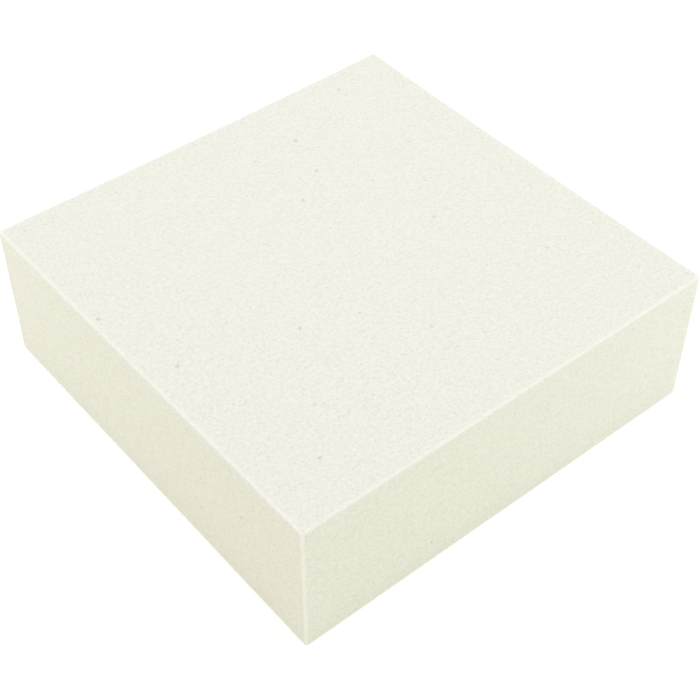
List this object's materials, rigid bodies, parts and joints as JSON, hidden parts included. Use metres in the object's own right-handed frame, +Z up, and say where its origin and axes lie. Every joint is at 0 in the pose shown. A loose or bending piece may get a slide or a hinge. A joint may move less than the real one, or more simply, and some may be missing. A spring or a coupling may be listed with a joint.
{
  "type": "foam block",
  "caption": "Square block of soft open-cell foam with flat cut faces and softly rounded edges, for padding, packing or use as a bench pad.",
  "frame": {"origin": "centre of the square face that the block rests on", "axes": "+Z up through the thickness, out of the top face; X and Y run along the two equal sides"},
  "size_m": [0.1524, 0.1524, 0.0508],
  "materials": {
    "foam": "matte, open-cell cut surface, cream white"
  },
  "bodies": {
    "root": {"foam_block": "foam"}
  },
  "joints": []
}
